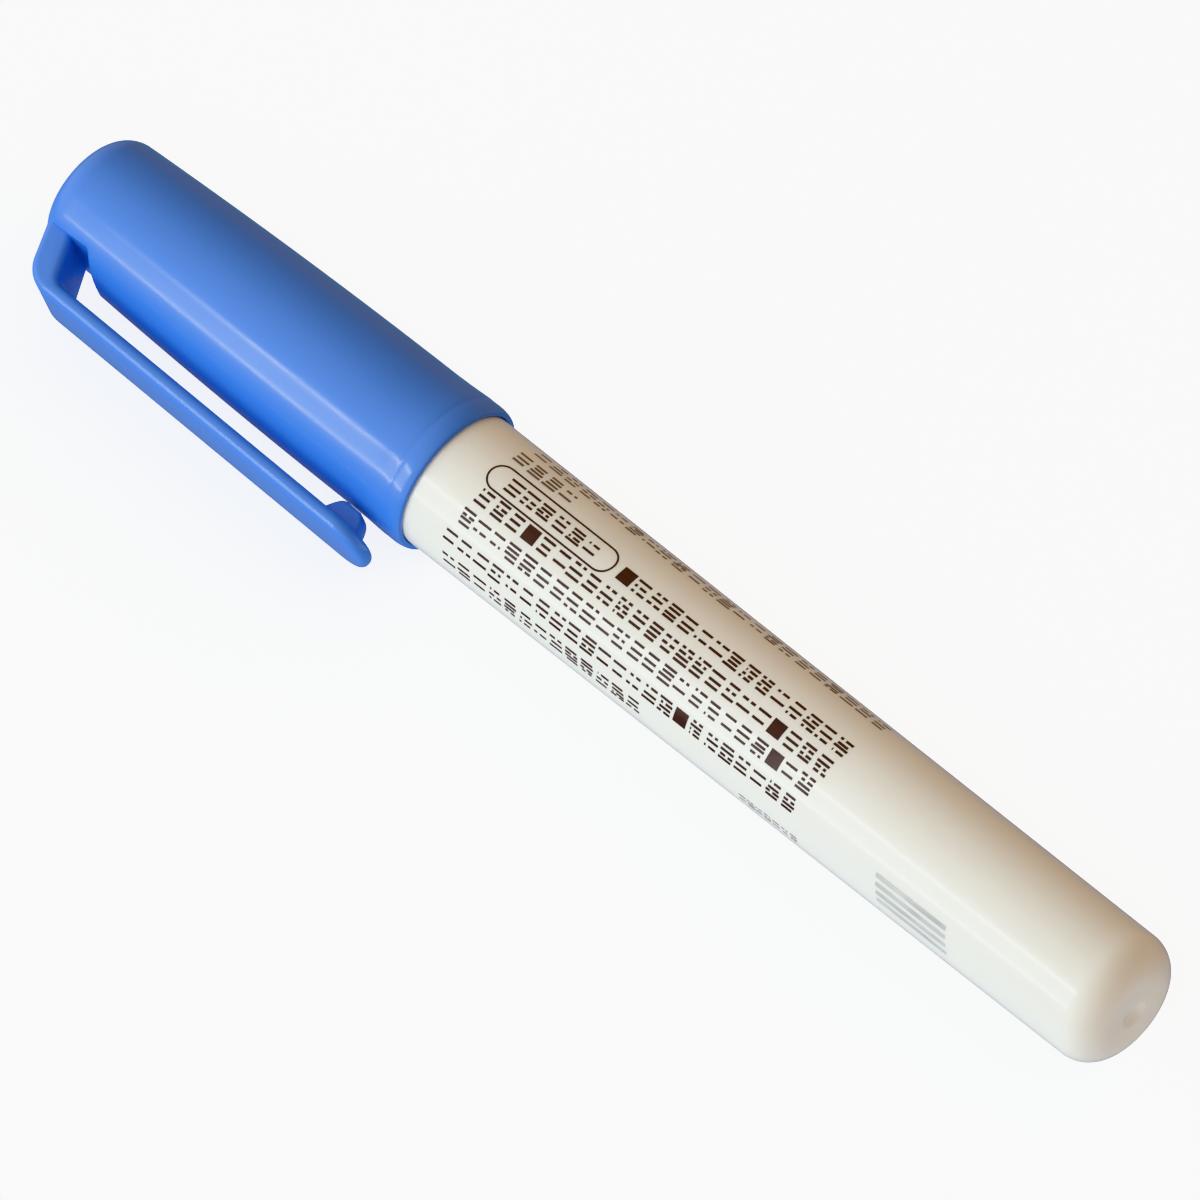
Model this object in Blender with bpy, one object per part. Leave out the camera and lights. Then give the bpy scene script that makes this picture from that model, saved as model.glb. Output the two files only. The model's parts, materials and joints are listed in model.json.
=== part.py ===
"""Capped twist-up fabric glue pen, lying on its side with the clip resting on the surface.

Every piece is modelled along the pen's own axis: x runs from the cap's top to the barrel's closed end,
the clip points to -Y and Z is the clip's width. The empty "pen" then lays the whole pen down.
Lengths are in metres; MM turns a size in millimetres into metres.
"""

import math

import bmesh
import bpy
from mathutils import Vector

MM = 0.001
MERGE = 0.001 * MM  # points closer than this are one point

# Driving dimensions
PEN_LENGTH = 137.0 * MM
OUTER_SIDES = 48
INNER_SIDES = 32
FIT_GAP = 0.3 * MM  # between a piece and the one that it is fixed to

# Barrel: a tube with a drafted outside, a neck for the cap and a closed, rounded end
BARREL_MOUTH_X = 38.0 * MM
BARREL_RADIUS = 7.24 * MM
BARREL_END_RADIUS = 6.98 * MM
BARREL_BORE = 6.0 * MM
BARREL_NECK_RADIUS = 6.95 * MM
BARREL_SHOULDER_X = 46.7 * MM
BARREL_MOUTH_BORE = 6.3 * MM
BARREL_MOUTH_DEPTH = 6.0 * MM
BARREL_END_FILLET = 3.3 * MM
BARREL_END_WALL = 2.4 * MM
BARREL_INNER_FILLET = 1.8 * MM
BARREL_LIP = 0.3 * MM
GATE_RADIUS = 1.4 * MM
GATE_DEPTH = 0.45 * MM

# Cap: a curved taper with a rounded top, a rim band and a clip moulded in one with it
CAP_LENGTH = 49.0 * MM
CAP_TOP_RADIUS = 6.85 * MM
CAP_SIDE_RADIUS = 7.88 * MM
CAP_RIM_RADIUS = 8.03 * MM
CAP_TOP_FILLET = 3.3 * MM
CAP_TAPER_POWER = 2.0
CAP_TAPER_END_X = 43.2 * MM
CAP_BAND_X = (46.4 * MM, 47.6 * MM)
CAP_RIM_DROP = 0.36 * MM
CAP_MOUTH_RADIUS = 7.44 * MM
CAP_CROWN_WALL = 1.5 * MM
CAP_CROWN_BORE = 4.2 * MM
CAP_CAVITY_X = 9.5 * MM
CAP_CAVITY_RADIUS = 6.0 * MM
CAP_CAVITY_END_RADIUS = 6.4 * MM
CAP_COLLAR_BORE = 6.85 * MM
CAP_NECK_BORE = 7.2 * MM
CAP_RIB_CLEARANCE = 0.1 * MM
CAP_RIB_X = (39.0 * MM, 45.0 * MM)
CAP_RIB_WIDTH = 0.8 * MM
CAP_RIBS = 6

# Clip: a flat strap that leaves the cap's shoulder and ends in a round tip with a pad under it
CLIP_WIDTH = 7.8 * MM
CLIP_THICKNESS = 1.6 * MM
CLIP_TIP_X = 47.8 * MM
CLIP_ROOT_REACH = 10.95 * MM  # axis to the clip's outer face at its root
CLIP_TIP_REACH = 11.9 * MM  # and at its tip
CLIP_SHOULDER_SLOPE = 0.42
CLIP_SHOULDER_X = 1.6 * MM
CLIP_SHOULDER_REACH = 6.5 * MM
CLIP_SHOULDER_THICKNESS = 2.2 * MM
CLIP_CORNER_RADIUS = 3.0 * MM
CLIP_INNER_RADIUS = 1.4 * MM
CLIP_EDGE_RADIUS = 0.3 * MM
SLOT_FLOOR_REACH = 5.3 * MM
SLOT_FLOOR_END_X = 6.3 * MM
SLOT_RAMP_END_X = 8.7 * MM
PAD_WIDTH = 2.6 * MM
PAD_CLEARANCE = 0.3 * MM
PAD_FOOT_X = (40.7 * MM, 45.7 * MM)
PAD_CREST_X = (42.7 * MM, 44.2 * MM)

# Inner cap: a soft cup in the cap that seals on the nozzle
INNER_CAP_X = (9.8 * MM, 27.2 * MM)
INNER_CAP_WALL = 0.8 * MM
INNER_CAP_SEAL_X = 22.5 * MM

# Refill, front to back: nozzle, twist collar, tube, feed nut and tail sleeve
NOZZLE_TIP_X = 18.0 * MM
NOZZLE_BORE = 4.0 * MM
NOZZLE_TIP_RADIUS = 4.7 * MM
NOZZLE_LAND_RADIUS = 5.25 * MM
NOZZLE_LAND_X = (23.0 * MM, 26.0 * MM)
NOZZLE_BASE_X = 33.0 * MM
NOZZLE_SPIGOT_LENGTH = 5.7 * MM
NOZZLE_SPIGOT_RADIUS = 4.45 * MM

COLLAR_X = (28.0 * MM, 37.7 * MM)
COLLAR_RADIUS = 6.3 * MM
COLLAR_RIB_HEIGHT = 0.25 * MM
COLLAR_RIBBED_X = (30.0 * MM, 36.8 * MM)
COLLAR_BORE = 5.4 * MM
COLLAR_SKIRT_LENGTH = 5.8 * MM
COLLAR_SKIRT_RADIUS = 6.0 * MM

TUBE_RADIUS = 5.1 * MM
TUBE_BORE = 4.1 * MM
TUBE_FRONT_BORE = 4.75 * MM
TUBE_REAR_BORE = 4.5 * MM
TUBE_REAR_BORE_X = 84.9 * MM
TUBE_END_X = 91.0 * MM

SLEEVE_RADIUS = 5.5 * MM
SLEEVE_BORE = 4.0 * MM
SLEEVE_SPIGOT_RADIUS = 4.1 * MM
SLEEVE_SPIGOT_X = 85.2 * MM
SLEEVE_WEB_END_X = 92.8 * MM
SLEEVE_END_X = 131.5 * MM
DRAG_RING_X = 88.0 * MM
DRAG_RING_RADIUS = 3.95 * MM
DRAG_RING_SECTION = 0.45 * MM
DRAG_GROOVE_FLOOR = 3.4 * MM
DRAG_GROOVE_WIDTH = 1.4 * MM

# Splines: ribs in the barrel's end that stop the tail sleeve turning
SPLINES = 6
SPLINE_START_X = 121.5 * MM
SPLINE_WIDTH = 1.0 * MM
SPLINE_CREST = 5.0 * MM

# Glue stick, its holder and the screw that pushes them
STICK_RADIUS = 3.6 * MM
STICK_X = (19.5 * MM, 71.5 * MM)
STICK_DOME = 1.4 * MM
PIN_RADIUS = 0.9 * MM
PIN_LENGTH = 3.7 * MM
HOLDER_DISC = 2.0 * MM
HOLDER_BOSS_RADIUS = 2.5 * MM
HOLDER_BOSS_LENGTH = 3.4 * MM
ROD_SPIGOT_LENGTH = 2.6 * MM

THREAD_LEAD = 4.0 * MM
THREAD_STEPS = 20
THREAD_CORE = 1.4 * MM
THREAD_CREST = 1.9 * MM
THREAD_CREST_HALF = 0.7 * MM
THREAD_FOOT_HALF = 1.3 * MM
THREAD_GAP = 0.25 * MM
THREAD_FLAT = 1.5 * MM  # half the rod's thickness across its two flats
ROD_X = (77.5 * MM, 130.5 * MM)
NUT_X = (79.5 * MM, 84.7 * MM)
NUT_RADIUS = 3.8 * MM

# How the pen lies: on the cap's rim, the clip's edge and the barrel's end
LYING_SPAN = PEN_LENGTH - BARREL_END_FILLET - CAP_BAND_X[0]
LYING_TILT = math.atan((CAP_RIM_RADIUS - BARREL_END_RADIUS) / LYING_SPAN)
CLIP_EDGE_REACH = math.hypot(CLIP_TIP_REACH, CLIP_WIDTH / 2)
LYING_ROLL = math.asin(CAP_RIM_RADIUS / CLIP_EDGE_REACH) - math.atan2(CLIP_WIDTH / 2, CLIP_TIP_REACH)


# ---------------------------------------------------------------- helpers


def material(name, colour, roughness):
    """A plain plastic or gum of one colour."""
    made = bpy.data.materials.new(name)
    made.use_nodes = True
    shader = made.node_tree.nodes["Principled BSDF"]
    shader.inputs["Base Color"].default_value = (*colour, 1.0)
    shader.inputs["Roughness"].default_value = roughness
    shader.inputs["Metallic"].default_value = 0.0
    return made


def empty(name, parent=None):
    made = bpy.data.objects.new(name, None)
    bpy.context.scene.collection.objects.link(made)
    made.parent = parent
    return made


def piece(name, bm, parent=None, finish=None):
    """A finished bmesh as an object with smooth round faces."""
    bmesh.ops.remove_doubles(bm, verts=bm.verts, dist=MERGE)
    bmesh.ops.dissolve_degenerate(bm, edges=bm.edges, dist=MERGE)
    bmesh.ops.recalc_face_normals(bm, faces=bm.faces)
    mesh = bpy.data.meshes.new(name)
    bm.to_mesh(mesh)
    bm.free()
    mesh.shade_smooth()
    mesh.set_sharp_from_angle(angle=math.radians(35))
    made = bpy.data.objects.new(name, mesh)
    bpy.context.scene.collection.objects.link(made)
    made.parent = parent
    if finish:
        mesh.materials.append(finish)
    return made


def helper(name, bm):
    """A shape that only cuts or joins another one."""
    made = piece(name, bm)
    made.hide_render = True
    made.display_type = "WIRE"
    return made


def arc(centre_x, centre_r, radius, start, end, steps):
    """Points (x, r) of an arc; angles are in degrees from +x towards +r."""
    angles = [math.radians(start + (end - start) * i / steps) for i in range(steps + 1)]
    return [(centre_x + radius * math.cos(a), centre_r + radius * math.sin(a)) for a in angles]


def turned(outline, sides, closed=True):
    """The outline's points (x, r) spun about the pen's axis. An open outline starts and ends on the axis."""
    bm = bmesh.new()
    verts = [bm.verts.new((x, r, 0.0)) for x, r in outline]
    pairs = list(zip(verts, verts[1:]))
    if closed:
        pairs.append((verts[-1], verts[0]))
    edges = [bm.edges.new(pair) for pair in pairs]
    bmesh.ops.spin(
        bm, geom=verts + edges, axis=(1, 0, 0), cent=(0, 0, 0), angle=2 * math.pi, steps=sides, use_merge=True
    )
    bmesh.ops.remove_doubles(bm, verts=bm.verts, dist=MERGE)
    return bm


def prism(outline, half_width):
    """The outline's points (x, reach towards the clip) extruded to both sides across the clip's width."""
    bm = bmesh.new()
    face = bm.faces.new([bm.verts.new((x, -reach, -half_width)) for x, reach in outline])
    grown = bmesh.ops.extrude_face_region(bm, geom=[face])["geom"]
    moved = [v for v in grown if isinstance(v, bmesh.types.BMVert)]
    bmesh.ops.translate(bm, vec=(0, 0, 2 * half_width), verts=moved)
    return bm


def box_at(bm, x_range, r_range, width, angle):
    """A box in bm that stands along a radius at this angle round the axis."""
    size = (x_range[1] - x_range[0], r_range[1] - r_range[0], width)
    centre = Vector(((x_range[0] + x_range[1]) / 2, (r_range[0] + r_range[1]) / 2, 0))
    verts = bmesh.ops.create_cube(bm, size=1.0)["verts"]
    for v in verts:
        v.co = Vector((v.co.x * size[0], v.co.y * size[1], v.co.z * size[2])) + centre
        y, z = v.co.y, v.co.z
        v.co.y = y * math.cos(angle) - z * math.sin(angle)
        v.co.z = y * math.sin(angle) + z * math.cos(angle)


def ribs(name, count, x_range, r_range, width):
    """Evenly spaced boxes round the axis, as one helper."""
    bm = bmesh.new()
    for i in range(count):
        box_at(bm, x_range, r_range, width, 2 * math.pi * i / count)
    return helper(name, bm)


def combine(target, other, operation):
    """Joins, cuts or trims the target by the other shape."""
    cut = target.modifiers.new(other.name, "BOOLEAN")
    cut.object = other
    cut.operation = operation
    cut.solver = "EXACT"


def fillet(points, radius, index, steps=4):
    """The polygon with the corner at this index rounded."""
    before, corner, after = (Vector(points[(index + k) % len(points)]) for k in (-1, 0, 1))
    to_before, to_after = (before - corner).normalized(), (after - corner).normalized()
    half = to_before.angle(to_after) / 2
    middle = corner + (to_before + to_after).normalized() * (radius / math.sin(half))
    start = corner + to_before * (radius / math.tan(half)) - middle
    end = corner + to_after * (radius / math.tan(half)) - middle
    turn = start.angle_signed(end)
    rounded = []
    for i in range(steps + 1):
        a = -turn * i / steps
        x = start.x * math.cos(a) - start.y * math.sin(a)
        y = start.x * math.sin(a) + start.y * math.cos(a)
        rounded.append((middle.x + x, middle.y + y))
    return points[:index] + rounded + points[index + 1 :]


# ---------------------------------------------------------------- threads


def thread_profile(gap):
    """One lead of the screw's outline as (distance along the axis, radius), grown by a gap."""
    foot, crest = THREAD_FOOT_HALF + gap, THREAD_CREST_HALF + gap
    core, top = THREAD_CORE + gap, THREAD_CREST + gap
    return [(-foot, core), (-crest, top), (crest, top), (foot, core)]


def thread_surface(bm, x_range, gap, end_radius):
    """A right-handed helical surface about the axis, run out to end_radius at both ends.

    Rows of points follow the helix, so each row joins the row one lead further on after a full turn.
    """
    first = math.floor(x_range[0] / THREAD_LEAD) - 1
    last = math.ceil(x_range[1] / THREAD_LEAD) + 1
    rows = []
    for turn in range(first, last + 1):
        for along, radius in thread_profile(gap):
            row = []
            for step in range(THREAD_STEPS + 1):
                share = step / THREAD_STEPS
                x = along + THREAD_LEAD * (turn + share)
                inside = x_range[0] < x < x_range[1]
                r = radius if inside else end_radius
                x = min(max(x, x_range[0]), x_range[1])
                angle = 2 * math.pi * (step % THREAD_STEPS) / THREAD_STEPS
                row.append(bm.verts.new((x, r * math.cos(angle), r * math.sin(angle))))
            rows.append(row)
    for near, far in zip(rows, rows[1:]):
        for i in range(THREAD_STEPS):
            bm.faces.new((near[i], near[i + 1], far[i + 1], far[i]))
    bmesh.ops.remove_doubles(bm, verts=bm.verts, dist=MERGE)
    bmesh.ops.dissolve_degenerate(bm, edges=bm.edges, dist=MERGE)


def end_loop(bm, x):
    return [e for e in bm.edges if e.is_boundary and all(abs(v.co.x - x) < MERGE for v in e.verts)]


def extrude_ring(bm, edges, x, radius):
    """Extrudes an open ring of edges to a ring at this place and radius, and returns its edges."""
    grown = bmesh.ops.extrude_edge_only(bm, edges=edges)["geom"]
    for v in (g for g in grown if isinstance(g, bmesh.types.BMVert)):
        angle = math.atan2(v.co.z, v.co.y)
        v.co = (x, radius * math.cos(angle), radius * math.sin(angle))
    return [g for g in grown if isinstance(g, bmesh.types.BMEdge)]


# ---------------------------------------------------------------- barrel


def make_barrel(parent, finish):
    fillet_x = PEN_LENGTH - BARREL_END_FILLET
    flat_radius = BARREL_END_RADIUS - BARREL_END_FILLET
    bowl = (GATE_RADIUS**2 + GATE_DEPTH**2) / (2 * GATE_DEPTH)
    half_angle = math.degrees(math.asin(GATE_RADIUS / bowl))
    gate = arc(PEN_LENGTH - GATE_DEPTH + bowl, 0, bowl, 180 - half_angle, 180, 3)
    floor_x = PEN_LENGTH - BARREL_END_WALL
    outline = (
        [(BARREL_MOUTH_X, BARREL_MOUTH_BORE), (BARREL_MOUTH_X, BARREL_NECK_RADIUS - BARREL_LIP)]
        + [(BARREL_MOUTH_X + BARREL_LIP, BARREL_NECK_RADIUS), (BARREL_SHOULDER_X, BARREL_NECK_RADIUS)]
        + [(BARREL_SHOULDER_X + BARREL_LIP, BARREL_RADIUS)]
        + arc(fillet_x, flat_radius, BARREL_END_FILLET, 90, 0, 6)
        + gate[:-1]
        + [(PEN_LENGTH - GATE_DEPTH, 0)]
    )
    inside = (
        [(floor_x, 0)]
        + arc(
            floor_x - BARREL_INNER_FILLET, BARREL_BORE - BARREL_INNER_FILLET, BARREL_INNER_FILLET, 0, 90, 3
        )
        + [(BARREL_MOUTH_X + BARREL_MOUTH_DEPTH, BARREL_BORE)]
        + [(BARREL_MOUTH_X + BARREL_MOUTH_DEPTH, BARREL_MOUTH_BORE)]
    )
    # The outline runs from the axis at the floor, out of the mouth and back to the axis at the end.
    barrel = piece("barrel", turned(inside + outline, OUTER_SIDES, closed=False), parent, finish)
    span = (SPLINE_START_X, floor_x + 0.8 * MM)
    splines = ribs("barrel_splines", SPLINES, span, (SPLINE_CREST, BARREL_BORE + 0.5 * MM), SPLINE_WIDTH)
    splines.parent = parent
    combine(barrel, splines, "UNION")
    return barrel


# ---------------------------------------------------------------- cap


def cap_radius(x):
    """The cap's outer radius from its top fillet to its rim band."""
    if x >= CAP_TAPER_END_X:
        share = min((x - CAP_TAPER_END_X) / (CAP_BAND_X[0] - CAP_TAPER_END_X), 1)
        return CAP_SIDE_RADIUS + (CAP_RIM_RADIUS - CAP_SIDE_RADIUS) * share
    share = (x - CAP_TOP_FILLET) / (CAP_TAPER_END_X - CAP_TOP_FILLET)
    return CAP_SIDE_RADIUS - (CAP_SIDE_RADIUS - CAP_TOP_RADIUS) * (1 - share) ** CAP_TAPER_POWER


def cap_outline():
    flat_radius = CAP_TOP_RADIUS - CAP_TOP_FILLET
    top = arc(CAP_TOP_FILLET, flat_radius, CAP_TOP_FILLET, 180, 90, 6)
    stations = 7
    step = (CAP_TAPER_END_X - CAP_TOP_FILLET) / stations
    side = [(CAP_TOP_FILLET + i * step, cap_radius(CAP_TOP_FILLET + i * step)) for i in range(1, stations + 1)]
    band_start, band_end = CAP_BAND_X
    rim = [
        (band_end + (CAP_LENGTH - band_end) * math.sin(a), CAP_RIM_RADIUS - CAP_RIM_DROP * (1 - math.cos(a)))
        for a in (0, math.pi / 6, math.pi / 3, math.pi / 2)
    ]
    return [(0, 0)] + top + side + [(band_start, CAP_RIM_RADIUS)] + rim + [(CAP_LENGTH, 0)]


def cap_cavity():
    """The hollow of the cap: a small crown bore, the inner cap's seat, and room for collar, neck and barrel."""
    neck_x = BARREL_MOUTH_X - 0.3 * MM
    collar_x = COLLAR_X[0] - 0.3 * MM
    mouth_x = BARREL_SHOULDER_X - 0.8 * MM
    return [
        (CAP_CROWN_WALL, 0),
        (CAP_CROWN_WALL, CAP_CROWN_BORE),
        (CAP_CAVITY_X, CAP_CROWN_BORE),
        (CAP_CAVITY_X, CAP_CAVITY_RADIUS),
        (collar_x, CAP_CAVITY_END_RADIUS),
        (collar_x, CAP_COLLAR_BORE),
        (neck_x, CAP_COLLAR_BORE),
        (neck_x, CAP_NECK_BORE),
        (mouth_x - 0.4 * MM, CAP_NECK_BORE),
        (mouth_x, CAP_MOUTH_RADIUS),
        (CAP_LENGTH + 1 * MM, CAP_MOUTH_RADIUS),
        (CAP_LENGTH + 1 * MM, 0),
    ]


def clip_reach(x):
    """Distance from the axis to the clip's outer face."""
    share = (x - CLIP_SHOULDER_X) / (CLIP_TIP_X - CLIP_SHOULDER_X)
    return CLIP_ROOT_REACH + (CLIP_TIP_REACH - CLIP_ROOT_REACH) * share


def shoulder_x(reach):
    """Where the clip's sloping shoulder lies at this distance from the axis."""
    return CLIP_SHOULDER_X + CLIP_SHOULDER_SLOPE * (reach - CLIP_SHOULDER_REACH)


def clip_side_outline():
    """The clip from the side: shoulder, outer face, tip, inner face, and back into the cap."""
    root = 3.2 * MM
    corner_x = shoulder_x(clip_reach(shoulder_x(CLIP_ROOT_REACH)))
    inner_root_x = shoulder_x(SLOT_FLOOR_REACH) + CLIP_SHOULDER_THICKNESS * 1.25
    inner_corner_reach = CLIP_ROOT_REACH - CLIP_THICKNESS
    inner_corner_x = inner_root_x + CLIP_SHOULDER_SLOPE * (inner_corner_reach - SLOT_FLOOR_REACH)
    end = CLIP_TIP_X + 1 * MM
    points = [
        (shoulder_x(root), root),
        (corner_x, clip_reach(corner_x)),
        (end, clip_reach(end)),
        (end, clip_reach(end) - CLIP_THICKNESS),
        (inner_corner_x, clip_reach(inner_corner_x) - CLIP_THICKNESS),
        (inner_root_x, SLOT_FLOOR_REACH),
        (inner_root_x, root),
    ]
    points = fillet(points, CLIP_INNER_RADIUS, 4)
    return fillet(points, CLIP_CORNER_RADIUS, 1, 6)


def clip_plan():
    """A slab that trims the clip to its width with a round tip."""
    half = CLIP_WIDTH / 2
    tip = arc(CLIP_TIP_X - half, 0, half, 90, -90, 12)
    outline = [(-1 * MM, -half), (-1 * MM, half)] + tip
    bm = bmesh.new()
    face = bm.faces.new([bm.verts.new((x, 0, z)) for x, z in outline])
    grown = bmesh.ops.extrude_face_region(bm, geom=[face])["geom"]
    moved = [v for v in grown if isinstance(v, bmesh.types.BMVert)]
    bmesh.ops.translate(bm, vec=(0, -20 * MM, 0), verts=moved)
    return helper("clip_plan", bm)


def pad_outline():
    """The pad's side: a low ramp and a steep one, with a crest just clear of the cap."""
    crest = cap_radius(PAD_CREST_X[1]) + PAD_CLEARANCE
    foot = clip_reach(PAD_FOOT_X[0]) - CLIP_THICKNESS / 2
    return [(PAD_FOOT_X[0], foot), (PAD_CREST_X[0], crest), (PAD_CREST_X[1], crest), (PAD_FOOT_X[1], foot)]


def slot_outline():
    """The cut behind the clip's root: a flat floor in the cap, then a rounded ramp back to the cap's side."""
    inner_root_x = shoulder_x(SLOT_FLOOR_REACH) + CLIP_SHOULDER_THICKNESS * 1.25
    top = CLIP_ROOT_REACH - CLIP_THICKNESS - 0.6 * MM
    rise = cap_radius(SLOT_RAMP_END_X) + 0.3 * MM - SLOT_FLOOR_REACH
    run = SLOT_RAMP_END_X - SLOT_FLOOR_END_X
    ramp = [
        (SLOT_RAMP_END_X - run * math.cos(a), SLOT_FLOOR_REACH + rise * math.sin(a))
        for a in (0, math.pi / 8, math.pi / 4, 3 * math.pi / 8, math.pi / 2)
    ]
    top_x = inner_root_x + CLIP_SHOULDER_SLOPE * (top - SLOT_FLOOR_REACH)
    return [(inner_root_x, SLOT_FLOOR_REACH)] + ramp + [(SLOT_RAMP_END_X, top), (top_x, top)]


def make_cap(parent, finish):
    cap = piece("cap", turned(cap_outline(), OUTER_SIDES, closed=False), parent, finish)
    clip = helper("clip", prism(clip_side_outline(), CLIP_WIDTH))
    combine(clip, clip_plan(), "INTERSECT")
    edges = clip.modifiers.new("edges", "BEVEL")
    edges.width = CLIP_EDGE_RADIUS
    edges.segments = 1
    edges.limit_method = "ANGLE"
    edges.angle_limit = math.radians(50)
    pad = helper("clip_pad", prism(pad_outline(), PAD_WIDTH / 2))
    slot = helper("clip_slot", prism(slot_outline(), 12 * MM))
    cavity = helper("cap_cavity", turned(cap_cavity(), OUTER_SIDES, closed=False))
    rib_bore = BARREL_NECK_RADIUS + CAP_RIB_CLEARANCE
    rib_span = (rib_bore, CAP_NECK_BORE + 0.3 * MM)
    grip = ribs("cap_grip_ribs", CAP_RIBS, CAP_RIB_X, rib_span, CAP_RIB_WIDTH)
    for tool, operation in (
        (clip, "UNION"),
        (pad, "UNION"),
        (slot, "DIFFERENCE"),
        (cavity, "DIFFERENCE"),
        (grip, "UNION"),
    ):
        tool.parent = parent
        combine(cap, tool, operation)
    bpy.data.objects["clip_plan"].parent = parent
    return cap


def make_inner_cap(parent, finish):
    start, end = INNER_CAP_X
    slope = (CAP_CAVITY_END_RADIUS - CAP_CAVITY_RADIUS) / (COLLAR_X[0] - CAP_CAVITY_X)
    outer_start = CAP_CAVITY_RADIUS - FIT_GAP
    outer_end = outer_start + slope * (end - start)
    seal_bore = NOZZLE_LAND_RADIUS + FIT_GAP / 2
    edge = 0.4 * MM
    outline = [
        (start, 0),
        (start, outer_start - edge),
        (start + edge, outer_start),
        (end, outer_end),
        (end, seal_bore + 0.1 * MM),
        (end - edge, seal_bore),
        (INNER_CAP_SEAL_X, seal_bore),
        (INNER_CAP_SEAL_X - edge, seal_bore - edge),
        (start + INNER_CAP_WALL, outer_start - INNER_CAP_WALL),
        (start + INNER_CAP_WALL, 0),
    ]
    return piece("inner_cap", turned(outline, INNER_SIDES, closed=False), parent, finish)


# ---------------------------------------------------------------- refill: the turning parts


def make_nozzle(parent, finish):
    spigot_end = NOZZLE_BASE_X + NOZZLE_SPIGOT_LENGTH
    neck = NOZZLE_TIP_RADIUS + 0.25 * MM
    tip = arc(NOZZLE_TIP_X + 0.35 * MM, NOZZLE_BORE + 0.35 * MM, 0.35 * MM, 270, 90, 4)
    outline = tip + [
        (NOZZLE_LAND_X[0] - 0.8 * MM, neck),
        (NOZZLE_LAND_X[0], NOZZLE_LAND_RADIUS),
        (NOZZLE_LAND_X[1], NOZZLE_LAND_RADIUS),
        (NOZZLE_LAND_X[1] + 0.5 * MM, TUBE_RADIUS),
        (NOZZLE_BASE_X, TUBE_RADIUS),
        (NOZZLE_BASE_X, NOZZLE_SPIGOT_RADIUS),
        (spigot_end, NOZZLE_SPIGOT_RADIUS),
        (spigot_end, NOZZLE_BORE),
    ]
    return piece("nozzle", turned(outline, INNER_SIDES), parent, finish)


def make_twist_collar(parent, finish):
    """A grip ring: every other point of the ribbed rings stands proud, which makes the ribs."""
    start, end = COLLAR_X
    skirt_end = end + COLLAR_SKIRT_LENGTH
    shoulder = COLLAR_RADIUS - 0.1 * MM
    outline = [
        (start, COLLAR_BORE),
        (start, COLLAR_RADIUS - 0.5 * MM),
        (COLLAR_RIBBED_X[0] - 0.4 * MM, shoulder),
        (COLLAR_RIBBED_X[0], COLLAR_RADIUS),
        (COLLAR_RIBBED_X[1], COLLAR_RADIUS),
        (COLLAR_RIBBED_X[1] + 0.4 * MM, shoulder),
        (end, shoulder),
        (end, COLLAR_SKIRT_RADIUS),
        (skirt_end, COLLAR_SKIRT_RADIUS),
        (skirt_end, COLLAR_BORE),
    ]
    bm = turned(outline, OUTER_SIDES)
    for v in bm.verts:
        radius = math.hypot(v.co.y, v.co.z)
        point = round(math.atan2(v.co.z, v.co.y) / (2 * math.pi) * OUTER_SIDES)
        if abs(radius - COLLAR_RADIUS) < MERGE and point % 2:
            v.co.y *= 1 + COLLAR_RIB_HEIGHT / radius
            v.co.z *= 1 + COLLAR_RIB_HEIGHT / radius
    return piece("twist_collar", bm, parent, finish)


def make_refill_tube(parent, finish):
    start = NOZZLE_BASE_X + FIT_GAP
    front_bore_end = NOZZLE_BASE_X + NOZZLE_SPIGOT_LENGTH + FIT_GAP
    outline = [
        (start, TUBE_FRONT_BORE),
        (start, TUBE_RADIUS),
        (TUBE_END_X, TUBE_RADIUS),
        (TUBE_END_X, TUBE_REAR_BORE),
        (TUBE_REAR_BORE_X, TUBE_REAR_BORE),
        (TUBE_REAR_BORE_X, TUBE_BORE),
        (front_bore_end, TUBE_BORE),
        (front_bore_end, TUBE_FRONT_BORE),
    ]
    return piece("refill_tube", turned(outline, INNER_SIDES), parent, finish)


def make_feed_nut(parent, finish):
    bm = bmesh.new()
    mouth = THREAD_CREST + 2 * THREAD_GAP
    thread_surface(bm, NUT_X, THREAD_GAP, mouth)
    outer = [extrude_ring(bm, end_loop(bm, x), x, NUT_RADIUS) for x in NUT_X]
    bmesh.ops.bridge_loops(bm, edges=outer[0] + outer[1])
    return piece("feed_nut", bm, parent, finish)


# ---------------------------------------------------------------- refill: the sliding and the fixed parts


def make_push_rod(parent, finish):
    bm = bmesh.new()
    thread_surface(bm, ROD_X, 0.0, THREAD_CORE)
    front = extrude_ring(bm, end_loop(bm, ROD_X[0]), ROD_X[0] - ROD_SPIGOT_LENGTH, THREAD_CORE)
    bmesh.ops.edgeloop_fill(bm, edges=front)
    bmesh.ops.edgeloop_fill(bm, edges=end_loop(bm, ROD_X[1]))
    for v in bm.verts:
        v.co.z = min(max(v.co.z, -THREAD_FLAT), THREAD_FLAT)
    return piece("push_rod", bm, parent, finish)


def make_stick_holder(parent, finish):
    disc = STICK_X[1] + FIT_GAP
    boss = disc + HOLDER_DISC
    boss_end = boss + HOLDER_BOSS_LENGTH
    socket = THREAD_CORE + FIT_GAP
    socket_floor = ROD_X[0] - ROD_SPIGOT_LENGTH - FIT_GAP
    outline = [
        (disc - PIN_LENGTH, 0),
        (disc - PIN_LENGTH, PIN_RADIUS),
        (disc, PIN_RADIUS),
        (disc, STICK_RADIUS),
        (boss, STICK_RADIUS),
        (boss, HOLDER_BOSS_RADIUS),
        (boss_end, HOLDER_BOSS_RADIUS),
        (boss_end, socket),
        (socket_floor, socket),
        (socket_floor, 0),
    ]
    return piece("stick_holder", turned(outline, INNER_SIDES, closed=False), parent, finish)


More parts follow.
